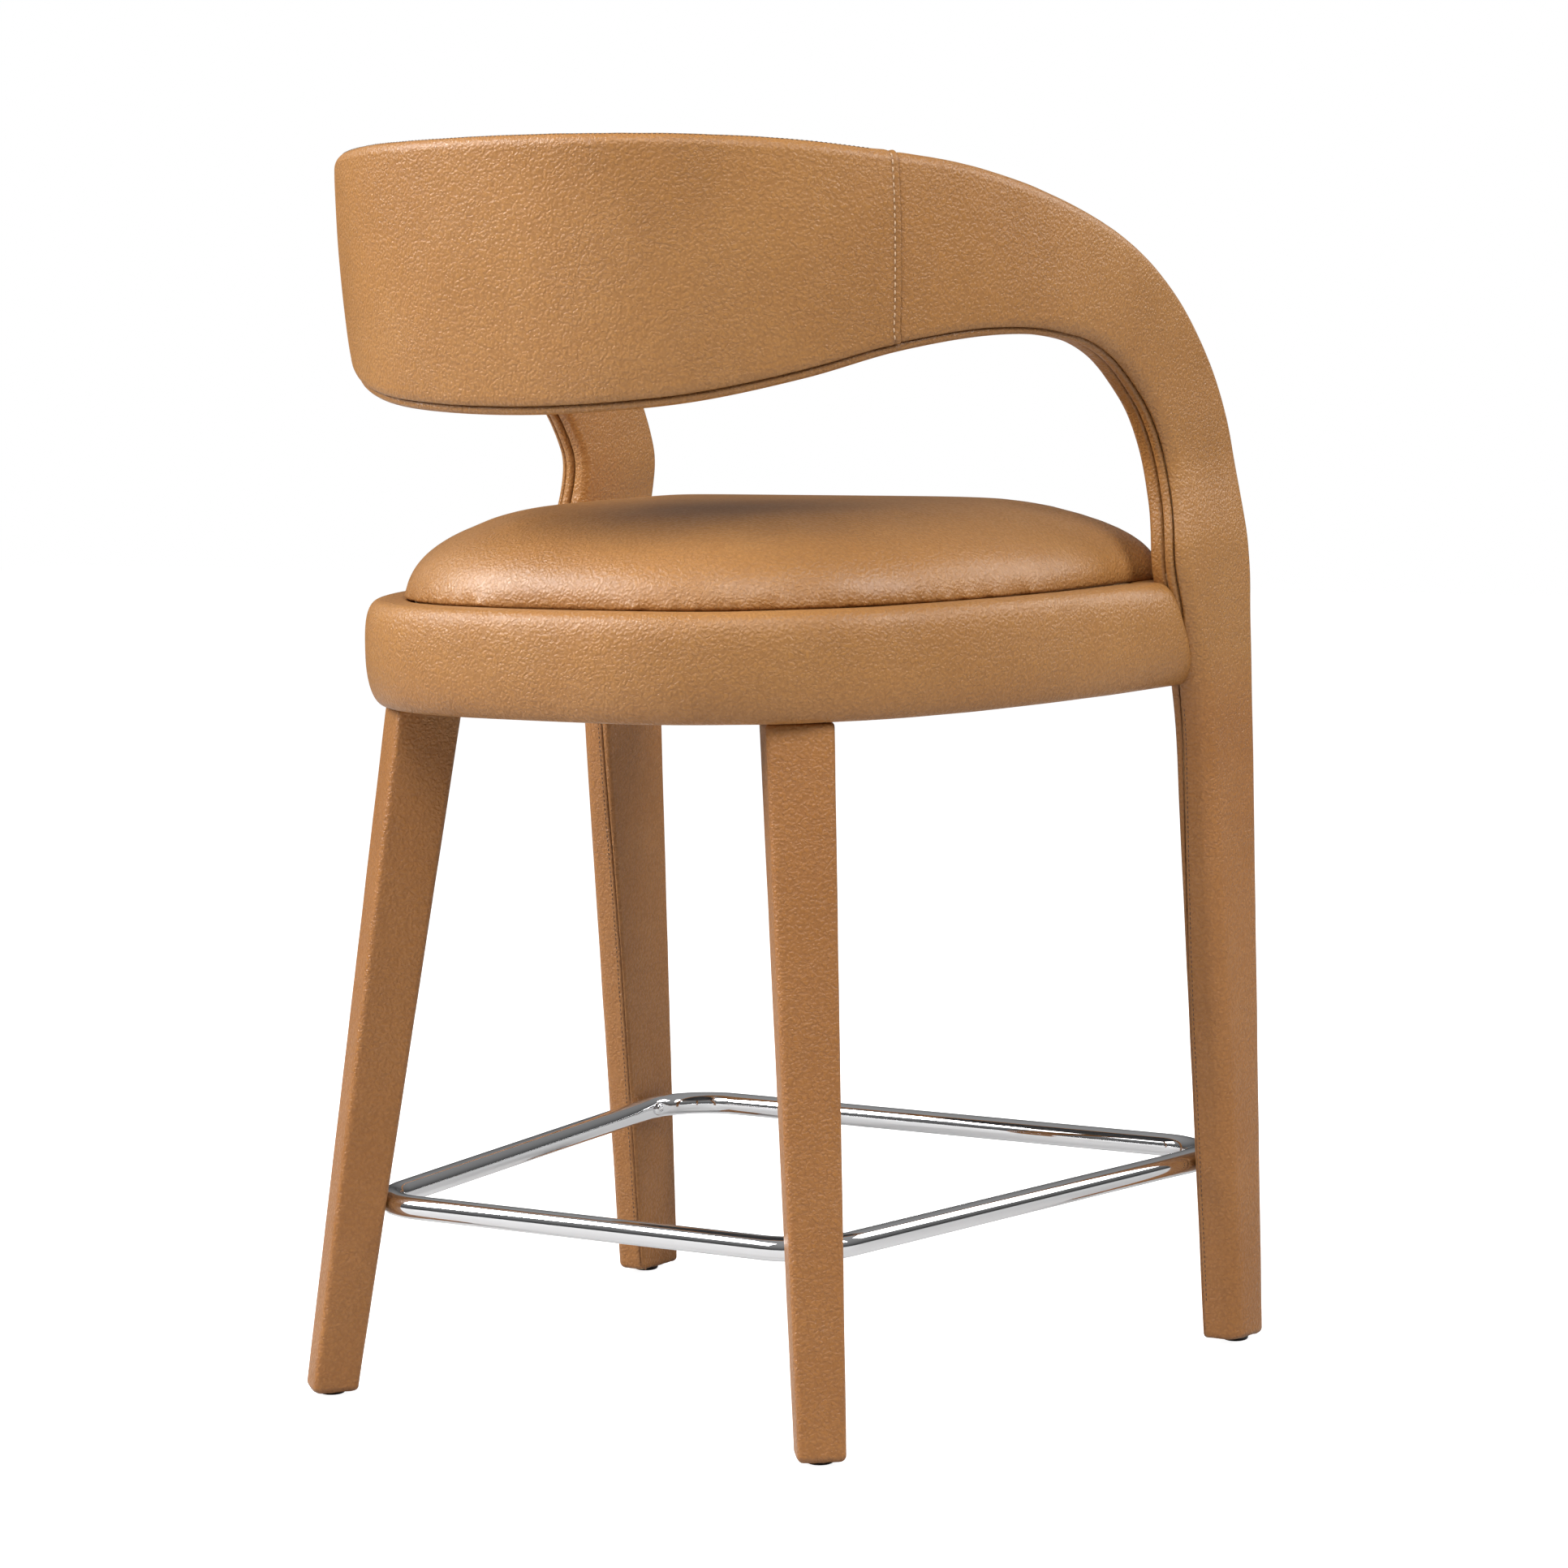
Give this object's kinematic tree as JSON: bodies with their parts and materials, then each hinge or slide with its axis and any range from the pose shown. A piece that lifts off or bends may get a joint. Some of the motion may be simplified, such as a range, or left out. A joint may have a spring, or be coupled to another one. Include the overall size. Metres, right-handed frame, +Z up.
{
  "type": "bar stool",
  "caption": "Counter-height bar stool with a low wrap-round leather back, arms flowing into the front legs, a drum seat, splayed rear legs and a metal footrest ring.",
  "frame": {"origin": "on the floor, under the middle of the stool's overall width and depth", "axes": "+Z up, -Y to the front where the sitter's knees are, +X to the sitter's left"},
  "size_m": [0.57, 0.5633, 0.892],
  "materials": {
    "leather": "fine pebbled grain, soft sheen",
    "foam": "open-cell upholstery foam",
    "wood": "unfinished plywood and hardwood",
    "steel": "zinc plated",
    "chrome": "polished plating",
    "plastic": "matt moulded",
    "dust_cloth": "thin non-woven cloth"
  },
  "bodies": {
    "root": {"apron_cover_front": "leather", "apron_cover_rear": "leather", "apron_foam_front": "foam", "apron_foam_rear": "foam", "arm_bolt_left_lower": "steel", "arm_bolt_left_upper": "steel", "arm_bolt_right_lower": "steel", "arm_bolt_right_upper": "steel", "back_cover_center": "leather", "back_cover_inner": "leather", "back_cover_left": "leather", "back_cover_right": "leather", "back_foam_inner": "foam", "back_foam_outer": "foam", "back_shell": "wood", "cushion_cover": "leather", "cushion_foam": "foam", "dust_cover": "dust_cloth", "footrest_insert_front_left": "steel", "footrest_insert_front_right": "steel", "footrest_insert_rear_left": "steel", "footrest_insert_rear_right": "steel", "footrest_ring": "chrome", "footrest_screw_front_left": "chrome", "footrest_screw_front_right": "chrome", "footrest_screw_rear_left": "chrome", "footrest_screw_rear_right": "chrome", "front_leg_post_left": "wood", "front_leg_post_right": "wood", "front_leg_sleeve_left": "leather", "front_leg_sleeve_right": "leather", "glide_front_left": "plastic", "glide_front_right": "plastic", "glide_nail_front_left": "steel", "glide_nail_front_right": "steel", "glide_nail_rear_left": "steel", "glide_nail_rear_right": "steel", "glide_rear_left": "plastic", "glide_rear_right": "plastic", "lower_edge_strip": "leather", "post_dowel_left_front": "wood", "post_dowel_left_rear": "wood", "post_dowel_right_front": "wood", "post_dowel_right_rear": "wood", "rear_leg_bolt_left": "steel", "rear_leg_bolt_right": "steel", "rear_leg_core_left": "wood", "rear_leg_core_right": "wood", "rear_leg_plate_left": "steel", "rear_leg_plate_right": "steel", "rear_leg_sleeve_left": "leather", "rear_leg_sleeve_right": "leather", "seat_board": "wood", "seat_frame": "wood"}
  },
  "joints": []
}
